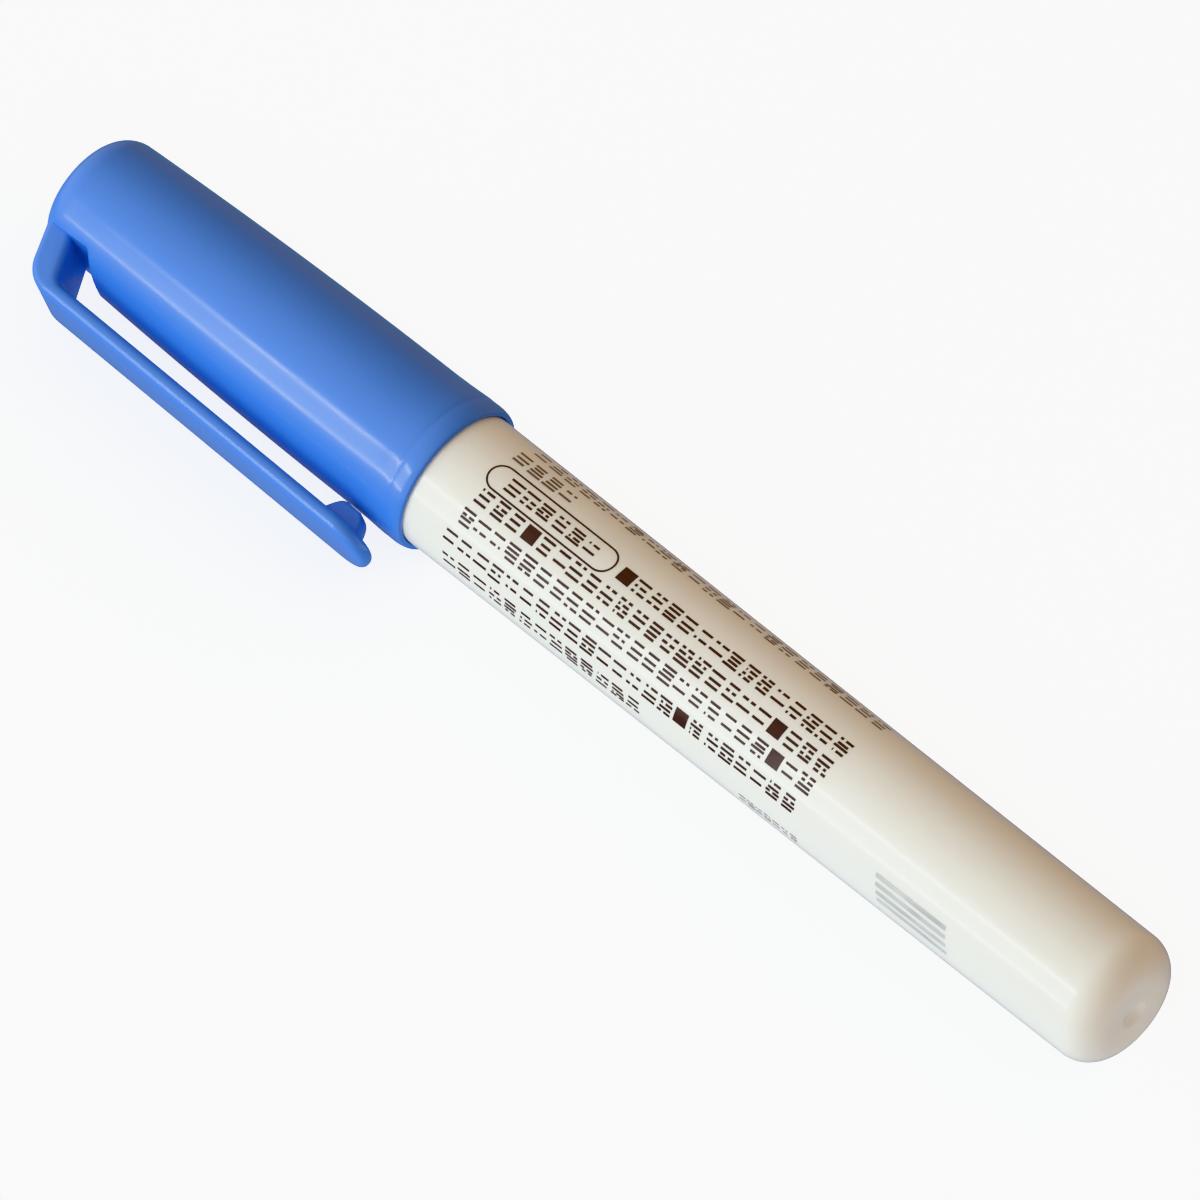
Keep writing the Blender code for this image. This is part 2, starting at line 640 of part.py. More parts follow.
def make_glue_stick(parent, finish):
    front, back = STICK_X
    hole = PIN_RADIUS + FIT_GAP
    hole_floor = back + FIT_GAP - PIN_LENGTH - FIT_GAP
    dome = [
        (front + STICK_DOME * (1 - math.cos(a)), STICK_RADIUS * math.sin(a))
        for a in (0, math.pi / 8, math.pi / 4, 3 * math.pi / 8, math.pi / 2)
    ]
    outline = dome + [(back, STICK_RADIUS), (back, hole), (hole_floor, hole), (hole_floor, 0)]
    return piece("glue_stick", turned(outline, INNER_SIDES, closed=False), parent, finish)


def make_tail_sleeve(parent, finish):
    """A sleeve with a spigot in the tube, a two-flat hole for the rod, and grooves for the barrel's splines."""
    groove = (DRAG_RING_X - DRAG_GROOVE_WIDTH / 2, DRAG_RING_X + DRAG_GROOVE_WIDTH / 2)
    flange = TUBE_END_X + FIT_GAP
    outline = [
        (SLEEVE_SPIGOT_X, 0),
        (SLEEVE_SPIGOT_X, SLEEVE_SPIGOT_RADIUS),
        (groove[0], SLEEVE_SPIGOT_RADIUS),
        (groove[0], DRAG_GROOVE_FLOOR),
        (groove[1], DRAG_GROOVE_FLOOR),
        (groove[1], SLEEVE_SPIGOT_RADIUS),
        (flange, SLEEVE_SPIGOT_RADIUS),
        (flange, SLEEVE_RADIUS),
        (SLEEVE_END_X, SLEEVE_RADIUS),
        (SLEEVE_END_X, SLEEVE_BORE),
        (SLEEVE_WEB_END_X, SLEEVE_BORE),
        (SLEEVE_WEB_END_X, 0),
    ]
    sleeve = piece("tail_sleeve", turned(outline, INNER_SIDES, closed=False), parent, finish)
    hole_radius = THREAD_CREST + FIT_GAP
    hole = [
        (SLEEVE_SPIGOT_X - 1 * MM, 0),
        (SLEEVE_SPIGOT_X - 1 * MM, hole_radius),
        (SLEEVE_WEB_END_X + 1 * MM, hole_radius),
        (SLEEVE_WEB_END_X + 1 * MM, 0),
    ]
    bm = turned(hole, INNER_SIDES, closed=False)
    for v in bm.verts:
        v.co.z = min(max(v.co.z, -THREAD_FLAT - FIT_GAP), THREAD_FLAT + FIT_GAP)
    two_flats = helper("rod_hole", bm)
    grooves = ribs(
        "sleeve_grooves",
        SPLINES,
        (SPLINE_START_X - FIT_GAP, SLEEVE_END_X + 1 * MM),
        (SPLINE_CREST - FIT_GAP, SLEEVE_RADIUS + 1 * MM),
        SPLINE_WIDTH + 2 * FIT_GAP,
    )
    for tool in (two_flats, grooves):
        tool.parent = parent
        combine(sleeve, tool, "DIFFERENCE")
    return sleeve


def make_drag_ring(parent, finish):
    outline = arc(DRAG_RING_X, DRAG_RING_RADIUS, DRAG_RING_SECTION, 0, 360, 8)[:-1]
    return piece("drag_ring", turned(outline, INNER_SIDES), parent, finish)


# ---------------------------------------------------------------- the pen


def lay_down(pen):
    """Rolls the pen on to its clip and puts the origin at the bottom centre of its box."""
    pen.rotation_euler = (LYING_ROLL, LYING_TILT, 0.0)
    bpy.context.view_layer.update()
    graph = bpy.context.evaluated_depsgraph_get()
    corners = [
        shape.matrix_world @ v.co
        for shape in (o.evaluated_get(graph) for o in bpy.data.objects if o.type == "MESH" and not o.hide_render)
        for v in shape.data.vertices
    ]
    low = [min(c[k] for c in corners) for k in range(3)]
    high = [max(c[k] for c in corners) for k in range(3)]
    pen.location = (-(low[0] + high[0]) / 2, -(low[1] + high[1]) / 2, -low[2])
    bpy.context.view_layer.update()


def main():
    for old in list(bpy.data.objects):
        bpy.data.objects.remove(old)

    blue = material("cap_blue", (0.10, 0.29, 0.85), 0.32)
    white = material("barrel_white", (0.84, 0.83, 0.79), 0.28)
    natural = material("natural_plastic", (0.80, 0.83, 0.84), 0.40)
    glue = material("blue_glue", (0.16, 0.36, 0.80), 0.55)
    rubber = material("drag_rubber", (0.03, 0.03, 0.03), 0.70)

    pen = empty("pen")
    refill = empty("refill_axis", pen)
    cap_axis = empty("cap_axis", refill)
    twist_axis = empty("twist_axis", refill)
    stick_axis = empty("stick_axis", refill)

    make_barrel(pen, white)
    make_cap(cap_axis, blue)
    make_inner_cap(cap_axis, natural)
    make_twist_collar(twist_axis, white)
    make_nozzle(twist_axis, natural)
    make_refill_tube(twist_axis, natural)
    make_feed_nut(twist_axis, white)
    make_tail_sleeve(refill, white)
    make_drag_ring(refill, rubber)
    make_push_rod(stick_axis, white)
    make_stick_holder(stick_axis, white)
    make_glue_stick(stick_axis, glue)
    lay_down(pen)


main()
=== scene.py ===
"""Looks of the capped fabric glue pen: fine meshes, moulded-plastic materials, floor, light and camera.

The pen is drawn along its own axis in millimetres (x from the cap's top to the barrel's end, the clip at
-y, the clip's width along z), and pen_frame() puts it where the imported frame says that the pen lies.
"""

import json
import math
import random

import bmesh
import bpy
from mathutils import Matrix, Vector


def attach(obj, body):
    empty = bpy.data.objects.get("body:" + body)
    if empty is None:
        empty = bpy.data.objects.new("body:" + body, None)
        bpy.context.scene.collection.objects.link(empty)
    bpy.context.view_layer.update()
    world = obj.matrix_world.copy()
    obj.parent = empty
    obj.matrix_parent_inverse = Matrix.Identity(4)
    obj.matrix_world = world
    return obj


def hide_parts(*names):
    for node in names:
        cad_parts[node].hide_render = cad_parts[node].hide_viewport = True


MM = 0.001
SIDES = 144
MERGE = 1e-4  # mm

# Outer shape, in millimetres along the pen
PEN_LENGTH = 137.0
BARREL_RADIUS = 7.24
BARREL_END_RADIUS = 6.98
BARREL_SHOULDER_X = 46.7
BARREL_END_FILLET = 3.3
BARREL_FLOOR_X = 134.6
GATE_RADIUS = 1.4
GATE_DEPTH = 0.45

CAP_LENGTH = 49.0
CAP_TOP_RADIUS = 6.85
CAP_SIDE_RADIUS = 7.88
CAP_RIM_RADIUS = 8.03
CAP_TOP_FILLET = 2.9
CAP_TAPER_END_X = 43.2
CAP_BAND_X = (46.4, 47.6)
CAP_RIM_DROP = 0.36

CLIP_WIDTH = 7.8
CLIP_THICKNESS = 1.6
CLIP_TIP_X = 47.8
CLIP_ROOT_REACH = 10.95
CLIP_TIP_REACH = 11.9
CLIP_SHOULDER_SLOPE = 0.42
CLIP_SHOULDER_X = 1.6
CLIP_SHOULDER_REACH = 6.5
CLIP_SHOULDER_THICKNESS = 3.1
CLIP_INNER_SLOPE = 0.5
CLIP_CORNER_RADIUS = 3.6
CLIP_INNER_RADIUS = 1.4
CLIP_EDGE_RADIUS = 0.74
SLOT_FLOOR_REACH = 5.3
SLOT_FLOOR_END_X = 6.6
SLOT_RAMP_END_X = 8.7

# Inside and fine detail of the cap
CAP_TOP_WALL = 1.5
CAP_BORES = ((9.5, 4.2), (9.5, 6.0), (27.7, 6.4), (27.7, 6.85), (37.7, 6.85), (37.7, 7.2))  # (x, radius)
CAP_MOUTH_BORE = 7.44
CAP_LIP_BORE = 7.30
CAP_LINE_X = 46.9
CAP_LINE_DEPTH = 0.04
CAP_LIP_EDGE = 0.16
PAD_START_X = 40.7
PAD_RISE = 2.0
PAD_MIDDLE_X = 43
PAD_CREST_X = 44.2
PAD_BACK = 1.5
PAD_CLEARANCE = 0.3
PAD_WIDTH = 2.6
PAD_EDGE_RADIUS = 0.3

# The print: films of ink on the barrel
INK_LIFT = 0.012
INK_DEPTH = 0.02
INK_STRIP = 0.25
INK_STROKE = 0.16  # of a row's height
SQUARE_HALF = 0.46  # of a row's height
DASH_GROUPS = ((-0.38, 0.0, 0.36), (-0.4, -0.12, 0.14, 0.4), (-0.36, 0.05, 0.4), (-0.3, 0.25))
ROW_HEIGHT = 1.75
ROW_PITCH = 2.0
ROW_END = 100.3
DARK_ROWS = (  # degrees round the barrel, start, end, height, pitch, squares
    (-23, 70.8, ROW_END, ROW_HEIGHT, ROW_PITCH, (71.8,)),
    (-23, 56.2, 68.2, ROW_HEIGHT * 0.92, ROW_PITCH, ()),
    (-2.5, 54.7, ROW_END, ROW_HEIGHT, ROW_PITCH, (61.7, 94.5)),
    (17, 54.3, ROW_END, ROW_HEIGHT, ROW_PITCH, (94.8,)),
    (38.5, 53.6, ROW_END, ROW_HEIGHT, ROW_PITCH, (84.6,)),
    (60, 54.0, 79.3, ROW_HEIGHT, ROW_PITCH, ()),
)
# Rows of real print drawn in a lighter ink: the lighter colour is painted glare that washes the print out near the
# barrel's edges.
GLARE_PAINTED_ROWS = (
    (-68, 54.8, ROW_END, ROW_HEIGHT, ROW_PITCH, ()),
    (-48, 54.2, 62.0, ROW_HEIGHT, ROW_PITCH, ()),
    (71, 92.6, 99.9, ROW_HEIGHT * 0.6, ROW_PITCH * 0.55, ()),
)
RING_ROW = -23
RING_X = (54.0, 70.2)
RING_HALF_HEIGHT = 1.55
RING_STROKE = 0.2
MARK_ROW = 54
MARK_STROKE = 0.55
MARK_BARS = ((110.0, 119.0, -1.65), (110.2, 119.2, -0.7), (110.4, 119.4, 0.25), (110.6, 119.6, 1.2))

# The glue stick's worn surface
STICK_WAVE = 0.008
STICK_WEAR = 0.02

# The view: the camera looks down at the pen's middle, turned a little to the barrel's end and to the clip
VIEW_ALONG = math.radians(24.6)  # off square to the axis, towards the barrel's end
VIEW_ROLL = math.radians(11.4)  # round the axis, towards the clip
AXIS_DROP = math.radians(38.2542)  # how far the axis slopes down to the right in the picture
TARGET = (68.1, 0.45)  # mm: along the axis, and across it towards the clip
FRAME_WIDTH = 112.0 * MM
CAMERA_DISTANCE = 4.0
SENSOR = 36.0

# Light: a tent that is white towards TENT_FRONT and turns warm and dim behind, as stops from 0 to 1.
# Below the horizon it fades to a stand-in for the floor's bounce: one colour for matt rays, one for glossy.
TENT_FRONT = Vector((-0.55, -0.83, 0.05))
TENT = (
    (0.0, (0.60, 0.46, 0.35)),
    (0.15, (0.46, 0.29, 0.18)),
    (0.3, (0.43, 0.25, 0.12)),
    (0.5, (0.61, 0.45, 0.29)),
    (0.8, (1.02, 1.04, 1.00)),
    (1.0, (1.28, 1.38, 1.42)),
)
UNDERSIDE_HEIGHT = (0.0, -0.40)
UNDERSIDE_ON_MATT = (1.22, 1.23, 1.22)
UNDERSIDE_ON_GLOSS = (0.20, 0.24, 0.34)
BACKDROP = (0.90, 0.91, 0.92)
LAMPS = (  # name, place, size, power, colour
    ("window", (-0.36, -0.90, 0.26), (0.4, 0.50), 1.5, (0.88, 0.98, 1.0)),
    ("window_top_edge", (-0.36, -0.88, 0.50), (0.4, 0.02), 0.85, (0.92, 1.0, 1.0)),
    ("window_low_edge", (-0.36, -0.88, 0.02), (0.4, 0.02), 0.55, (0.92, 1.0, 1.0)),
)
FLOOR_LAMP = ("floor_light", (0.85, -1.0, 1.52), (1.2, 1.2), 70, (0.90, 0.96, 1.0))
FLOOR_HALF_SIZE = 40.0
FLOOR_DROP = 0.0002
FLOOR_GLOW = 1.3

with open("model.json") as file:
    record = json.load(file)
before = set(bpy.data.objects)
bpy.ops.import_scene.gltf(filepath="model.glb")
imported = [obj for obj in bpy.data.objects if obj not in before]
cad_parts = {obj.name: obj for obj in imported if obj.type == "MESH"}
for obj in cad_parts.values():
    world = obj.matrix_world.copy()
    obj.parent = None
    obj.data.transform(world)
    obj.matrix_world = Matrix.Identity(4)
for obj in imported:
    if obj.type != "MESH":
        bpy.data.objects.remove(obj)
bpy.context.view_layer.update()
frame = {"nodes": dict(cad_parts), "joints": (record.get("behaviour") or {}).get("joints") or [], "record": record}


# ---------------------------------------------------------------- the pen's place


def pen_frame():
    """A matrix from the pen's own axes, in metres, to the row's frame, read from the joints and mounts."""
    mounts = {m["name"]: m for m in frame["record"]["mounts"]}
    hinge = next(j for j in frame["joints"] if j["name"] == "collar_twist")
    along = Vector(hinge["axis"]).normalized()
    on_axis = Vector(hinge["pos_m"])
    away = Vector(mounts["clip_inner_face"]["axis"])
    across = (away - along * away.dot(along)).normalized()
    top = Vector(mounts["cap_top_face"]["pos_m"])
    origin = on_axis + along * (top - on_axis).dot(along)
    width = along.cross(across)
    place = Matrix((along, across, width)).transposed().to_4x4()
    place.translation = origin
    return place


PEN = pen_frame()


# ---------------------------------------------------------------- meshes


def finish_mesh(bm, name):
    bmesh.ops.remove_doubles(bm, verts=bm.verts, dist=MERGE)
    bmesh.ops.recalc_face_normals(bm, faces=bm.faces)
    mesh = bpy.data.meshes.new(name)
    bm.to_mesh(mesh)
    bm.free()
    made = bpy.data.objects.new(name, mesh)
    bpy.context.scene.collection.objects.link(made)
    return made


def arc(centre_x, centre_r, radius, start, end, steps):
    """Points (x, r) of an arc; angles are in degrees from +x towards +r."""
    angles = [math.radians(start + (end - start) * i / steps) for i in range(steps + 1)]
    return [(centre_x + radius * math.cos(a), centre_r + radius * math.sin(a)) for a in angles]


def line(start, end, steps):
    """Evenly spaced points between two points, without the last."""
    return [
        (start[0] + (end[0] - start[0]) * i / steps, start[1] + (end[1] - start[1]) * i / steps)
        for i in range(steps)
    ]


def turned(name, outline, closed=True, sides=SIDES):
    """The outline's points (x, r) spun about the axis. An open outline starts and ends on the axis."""
    bm = bmesh.new()
    rings = []
    for x, r in outline:
        if r < MERGE:
            rings.append([bm.verts.new((x, 0, 0))] * sides)
            continue
        angles = [2 * math.pi * i / sides for i in range(sides)]
        rings.append([bm.verts.new((x, r * math.cos(a), r * math.sin(a))) for a in angles])
    pairs = list(zip(rings, rings[1:]))
    if closed:
        pairs.append((rings[-1], rings[0]))
    for near, far in pairs:
        for i in range(sides):
            j = (i + 1) % sides
            corners = [near[i], near[j], far[j], far[i]]
            corners = [v for k, v in enumerate(corners) if v not in corners[:k]]
            if len(corners) > 2:
                bm.faces.new(corners)
    return finish_mesh(bm, name)


def prism(name, outline, depth, across=True):
    """An outline made solid: of (x, reach) both ways along the clip's width, or of (x, width) outwards."""
    bm = bmesh.new()
    if across:
        verts = [bm.verts.new((x, -reach, -depth)) for x, reach in outline]
        step = (0, 0, 2 * depth)
    else:
        verts = [bm.verts.new((x, 0, z)) for x, z in outline]
        step = (0, -depth, 0)
    face = bm.faces.new(verts)
    grown = bmesh.ops.extrude_face_region(bm, geom=[face])["geom"]
    bmesh.ops.translate(bm, vec=step, verts=[v for v in grown if isinstance(v, bmesh.types.BMVert)])
    return finish_mesh(bm, name)


def radial_boxes(name, count, x_range, r_range, width):
    """Evenly spaced boxes that stand round the axis."""
    bm = bmesh.new()
    for n in range(count):
        turn = Matrix.Rotation(2 * math.pi * n / count, 4, "X")
        size = Matrix.Diagonal((x_range[1] - x_range[0], r_range[1] - r_range[0], width, 1))
        place = Matrix.Translation((sum(x_range) / 2, sum(r_range) / 2, 0))
        bmesh.ops.create_cube(bm, size=1.0, matrix=turn @ place @ size)
    return finish_mesh(bm, name)


def apply_modifiers(piece):
    graph = bpy.context.evaluated_depsgraph_get()
    mesh = bpy.data.meshes.new_from_object(piece.evaluated_get(graph))
    piece.modifiers.clear()
    piece.data = mesh
    return piece


def combine(piece, tool, operation):
    """Joins or cuts the piece by a tool, which is then gone."""
    cut = piece.modifiers.new("cut", "BOOLEAN")
    cut.object = tool
    cut.operation = operation
    cut.solver = "EXACT"
    apply_modifiers(piece)
    bpy.data.objects.remove(tool)


def rounded(piece, width, segments=3, angle=40):
    edges = piece.modifiers.new("edges", "BEVEL")
    edges.width = width
    edges.segments = segments
    edges.limit_method = "ANGLE"
    edges.angle_limit = math.radians(angle)
    return apply_modifiers(piece)


def put(piece, body, material, replaces=None, sharp=32):
    """Lays a finished piece in the frame, shades it and says what it stands for."""
    piece.data.transform(PEN @ Matrix.Scale(MM, 4))
    piece.data.shade_smooth()
    piece.data.set_sharp_from_angle(angle=math.radians(sharp))
    piece.data.materials.clear()
    piece.data.materials.append(material)
    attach(piece, body)
    if replaces:
        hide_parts(replaces)
    return piece


def fillet(points, radius, index, steps=14):
    """The polygon with the corner at this index rounded."""
    before, corner, after = (Vector(points[(index + k) % len(points)]) for k in (-1, 0, 1))
    to_before, to_after = (before - corner).normalized(), (after - corner).normalized()
    half = to_before.angle(to_after) / 2
    middle = corner + (to_before + to_after).normalized() * (radius / math.sin(half))
    start = corner + to_before * (radius / math.tan(half)) - middle
    end = corner + to_after * (radius / math.tan(half)) - middle
    turn = start.angle_signed(end)
    curve = []
    for i in range(steps + 1):
        a = -turn * i / steps
        x = start.x * math.cos(a) - start.y * math.sin(a)
        y = start.x * math.sin(a) + start.y * math.cos(a)
        curve.append((middle.x + x, middle.y + y))
    return points[:index] + curve + points[index + 1 :]


# ---------------------------------------------------------------- materials


class Nodes:
    """Short calls for building one material's node tree."""

    def __init__(self, name):
        self.material = bpy.data.materials.new(name)
        self.material.use_nodes = True
        self.tree = self.material.node_tree
        self.shader = self.tree.nodes["Principled BSDF"]
        self.place = self.add("ShaderNodeTexCoord").outputs["Object"]

    def add(self, kind, **values):
        node = self.tree.nodes.new(kind)
        for key, value in values.items():
            setattr(node, key, value)
        return node

    def join(self, source, target):
        self.tree.links.new(source, target)

    def noise(self, scale, detail=3.0, stretch=(1, 1, 1)):
        """A noise pattern at this many features a metre; stretch draws it out."""
        mapping = self.add("ShaderNodeMapping")
        mapping.inputs["Scale"].default_value = stretch
        self.join(self.place, mapping.inputs["Vector"])
        pattern = self.add("ShaderNodeTexNoise")
        pattern.inputs["Scale"].default_value = scale
        pattern.inputs["Detail"].default_value = detail
        self.join(mapping.outputs["Vector"], pattern.inputs["Vector"])
        return pattern.outputs["Fac"]

    def ramp(self, source, low, high, start=0.35, end=0.65):
        """The pattern turned into a range between two colours."""
        ramp = self.add("ShaderNodeValToRGB")
        ramp.color_ramp.elements[0].position = start
        ramp.color_ramp.elements[1].position = end
        ramp.color_ramp.elements[0].color = (*low, 1)
        ramp.color_ramp.elements[1].color = (*high, 1)
        self.join(source, ramp.inputs["Fac"])
        return ramp.outputs["Color"]

    def level(self, source, low, high):
        """The pattern turned into a range between two numbers."""
        spread = self.add("ShaderNodeMapRange")
        spread.inputs["From Min"].default_value = 0.3
        spread.inputs["From Max"].default_value = 0.7
        spread.inputs["To Min"].default_value = low
        spread.inputs["To Max"].default_value = high
        self.join(source, spread.inputs["Value"])
        return spread.outputs["Result"]

    def bump(self, layers):
        """Stacked bumps of (pattern, depth in metres)."""
        normal = None
        for pattern, depth in layers:
            node = self.add("ShaderNodeBump")
            node.inputs["Strength"].default_value = 1.0
            node.inputs["Distance"].default_value = depth
            self.join(pattern, node.inputs["Height"])
            if normal:
                self.join(normal, node.inputs["Normal"])
            normal = node.outputs["Normal"]
        self.join(normal, self.shader.inputs["Normal"])

    def set(self, **values):
        for key, value in values.items():
            self.shader.inputs[key.replace("_", " ")].default_value = value


def plastic(
    name, low, high, rough, mottling=90, grain=2600, depth=2.5e-6, glow=0.0, depth_mm=1.0, gloss=0.5
):
    """Moulded plastic: faint mottling in colour, flow lines along the pen, fine grain and uneven gloss.

    mottling and grain are features a metre, and depth is the grain's depth in metres. glow is the share of
    light that scatters inside, and depth_mm is how far it goes.
    """
    m = Nodes(name)
    flow = m.noise(mottling, 4.0, (0.25, 1, 1))
    m.join(m.ramp(flow, low, high), m.shader.inputs["Base Color"])
    smudges = m.noise(260, 5.0)
    m.join(m.level(smudges, rough[0], rough[1]), m.shader.inputs["Roughness"])
    m.bump([(m.noise(420, 2.0, (0.2, 1, 1)), depth * 3), (m.noise(grain, 2.0), depth)])
    m.set(IOR=1.49, Specular_IOR_Level=gloss)
    if glow:
        m.set(Subsurface_Weight=glow, Subsurface_Radius=(1.0, 0.85, 0.7), Subsurface_Scale=depth_mm * MM)
    return m.material


def make_materials():
    ink = {"mottling": 1500, "grain": 5000, "depth": 1e-6}
    return {
        "cap": plastic("cap_blue", (0.078, 0.240, 0.790), (0.084, 0.252, 0.820), (0.14, 0.19), gloss=0.62),
        "barrel": plastic(
            "barrel_white", (0.82, 0.83, 0.80), (0.85, 0.86, 0.835), (0.14, 0.20), glow=0.3, depth_mm=1.5
        ),
        "natural": plastic(
            "natural_plastic", (0.70, 0.74, 0.75), (0.78, 0.81, 0.82), (0.30, 0.42), glow=0.5, depth_mm=2.0
        ),
        "white": plastic("white_plastic", (0.78, 0.78, 0.75), (0.83, 0.83, 0.80), (0.32, 0.44), glow=0.2),
        "glue": plastic(
            "blue_glue", (0.10, 0.27, 0.62), (0.17, 0.38, 0.74), (0.38, 0.62), 700, 1500, 9e-6, 0.35, 1.2
        ),
        "rubber": plastic(
            "drag_rubber", (0.018, 0.018, 0.02), (0.03, 0.03, 0.032), (0.6, 0.75), 300, 3000, 6e-6
        ),
        "ink": plastic("print_ink", (0.042, 0.010, 0.005), (0.060, 0.016, 0.008), (0.35, 0.5), **ink),
        # Print ink made lighter to paint the glare on the rows near the barrel's edges.
        "glare_painted_ink": plastic("glare_painted_ink", (0.15, 0.11, 0.09), (0.22, 0.17, 0.14), (0.35, 0.5), **ink),
        "grey_ink": plastic(
            "grey_ink", (0.44, 0.46, 0.46), (0.58, 0.60, 0.60), (0.3, 0.45), 1200, 5000, 1e-6
        ),
    }


# ---------------------------------------------------------------- cap


def cap_radius(x):
    """The cap's outer radius from its top fillet to its rim band."""
    if x >= CAP_TAPER_END_X:
        share = min((x - CAP_TAPER_END_X) / (CAP_BAND_X[0] - CAP_TAPER_END_X), 1)
        return CAP_SIDE_RADIUS + (CAP_RIM_RADIUS - CAP_SIDE_RADIUS) * share
    share = (x - CAP_TOP_FILLET) / (CAP_TAPER_END_X - CAP_TOP_FILLET)
    return CAP_SIDE_RADIUS - (CAP_SIDE_RADIUS - CAP_TOP_RADIUS) * (1 - share) ** 2


def slot_floor(x):
    """How far from the axis the cap may reach behind the clip's root: a flat, then a round ramp."""
    if x > SLOT_RAMP_END_X:
        return math.inf
    share = max((x - SLOT_FLOOR_END_X) / (SLOT_RAMP_END_X - SLOT_FLOOR_END_X), 0)
    rise = cap_radius(SLOT_RAMP_END_X) - SLOT_FLOOR_REACH
    return SLOT_FLOOR_REACH + rise * math.sin(share * math.pi / 2)


def cap_shell():
    """The cap without its clip, hollow, with the flat behind the clip's root and a fine line by the rim."""
    outer = arc(CAP_TOP_FILLET, CAP_TOP_RADIUS - CAP_TOP_FILLET, CAP_TOP_FILLET, 180, 90, 16)
    stations = [x / 4 for x in range(12, 40)] + [10 + 1.2 * i for i in range(28)] + [44.2, 45.3, 46.4]
    outer += [(x, cap_radius(x)) for x in stations]
    for step, depth in ((-0.15, 0.01), (0, CAP_LINE_DEPTH), (0.15, 0.01)):
        outer.append((CAP_LINE_X + step, CAP_RIM_RADIUS - depth))
    band_end = CAP_BAND_X[1]
    for a in [math.pi / 2 * i / 10 for i in range(9)]:
        x = band_end + (CAP_LENGTH - band_end) * math.sin(a)
        outer.append((x, CAP_RIM_RADIUS - CAP_RIM_DROP * (1 - math.cos(a))))
    lip_radius = CAP_RIM_RADIUS - CAP_RIM_DROP - CAP_LIP_EDGE
    outer += arc(CAP_LENGTH - CAP_LIP_EDGE, lip_radius, CAP_LIP_EDGE, 60, 0, 5)
    inner = [(CAP_LENGTH, 7.36), (48.9, CAP_LIP_BORE), (48.2, CAP_LIP_BORE), (48.0, CAP_MOUTH_BORE)]
    inner += [(45.9, CAP_MOUTH_BORE), (45.5, 7.2)]
    inner += [*reversed(CAP_BORES), (CAP_TOP_WALL, CAP_BORES[0][1]), (CAP_TOP_WALL, 0)]
    shell = turned("cap_moulding", [(0, 0)] + outer + inner, closed=False)
    for v in shell.data.vertices:
        x, y, z = v.co
        on_outside = math.hypot(y, z) > 6.45 or x < 1.4
        if on_outside and x > 2.0 and -y > slot_floor(x):
            v.co.y = -slot_floor(x)
    return shell


def clip_reach(x):
    share = (x - CLIP_SHOULDER_X) / (CLIP_TIP_X - CLIP_SHOULDER_X)
    return CLIP_ROOT_REACH + (CLIP_TIP_REACH - CLIP_ROOT_REACH) * share


def shoulder_x(reach):
    return CLIP_SHOULDER_X + CLIP_SHOULDER_SLOPE * (reach - CLIP_SHOULDER_REACH)


def clip():
    """The strap: a sloping shoulder, a rounded corner, a flat arm and a round tip, with softened edges."""
    root = 3.2
    corner = shoulder_x(clip_reach(shoulder_x(CLIP_ROOT_REACH)))
    inner_root = shoulder_x(SLOT_FLOOR_REACH) + CLIP_SHOULDER_THICKNESS
    inner_reach = CLIP_ROOT_REACH - CLIP_THICKNESS
    inner_corner = inner_root + CLIP_INNER_SLOPE * (inner_reach - SLOT_FLOOR_REACH)
    end = CLIP_TIP_X + 1
    side = [
        (shoulder_x(root), root),
        (corner, clip_reach(corner)),
        (end, clip_reach(end)),
        (end, clip_reach(end) - CLIP_THICKNESS),
        (inner_corner, clip_reach(inner_corner) - CLIP_THICKNESS),
        (inner_root, SLOT_FLOOR_REACH),
        (inner_root, root),
    ]
    side = fillet(side, CLIP_INNER_RADIUS, 4)
    side = fillet(side, CLIP_CORNER_RADIUS, 1)
    strap = prism("clip", side, CLIP_WIDTH)
    half = CLIP_WIDTH / 2
    plan = [(-1, -half), (-1, half)] + arc(CLIP_TIP_X - half, 0, half, 90, -90, 36)
    combine(strap, prism("clip_plan", plan, 20, across=False), "INTERSECT")
    return rounded(strap, CLIP_EDGE_RADIUS, 6, 50)


def clip_pad():
    """The grip pad under the tip: a low rise, a short crest close to the cap, and a steep round back."""
    crest = cap_radius(PAD_CREST_X) + PAD_CLEARANCE
    foot = clip_reach(PAD_MIDDLE_X) - CLIP_THICKNESS / 2
    outline = []
    for t in [i / 8 for i in range(9)]:
        outline.append((PAD_START_X + PAD_RISE * t, foot + (crest - foot) * math.sin(t * math.pi / 2)))
    for a in [math.pi / 2 * i / 8 for i in range(1, 9)]:
        outline.append((PAD_CREST_X + PAD_BACK * math.sin(a), crest + (foot - crest) * (1 - math.cos(a))))
    return rounded(prism("clip_pad", outline, PAD_WIDTH / 2), PAD_EDGE_RADIUS, 3, 50)


def make_cap(looks):
    cap = cap_shell()
    strap = clip()
    combine(strap, clip_pad(), "UNION")
    combine(cap, strap, "UNION")
    combine(cap, radial_boxes("grip_ribs", 6, (39, 45), (7.05, 7.5), 0.8), "UNION")
    put(cap, "cap", looks["cap"], "cap")


def make_inner_cap(looks):
    outline = [(9.8, 0)] + arc(10.2, 5.3, 0.4, 180, 90, 6)
    outline += [(27.2, 6.05), (27.2, 5.55), (26.8, 5.4), (22.5, 5.4), (22.1, 5.0)]
    outline += [(10.9, 4.85), (10.6, 4.55), (10.6, 0)]
    cup = turned("inner_cap_cup", outline, closed=False)
    put(cup, "cap", looks["natural"], "inner_cap")


# ---------------------------------------------------------------- barrel and its print


def barrel_radius(x):
    share = (x - BARREL_SHOULDER_X) / (PEN_LENGTH - BARREL_END_FILLET - BARREL_SHOULDER_X)
    return BARREL_RADIUS + (BARREL_END_RADIUS - BARREL_RADIUS) * share


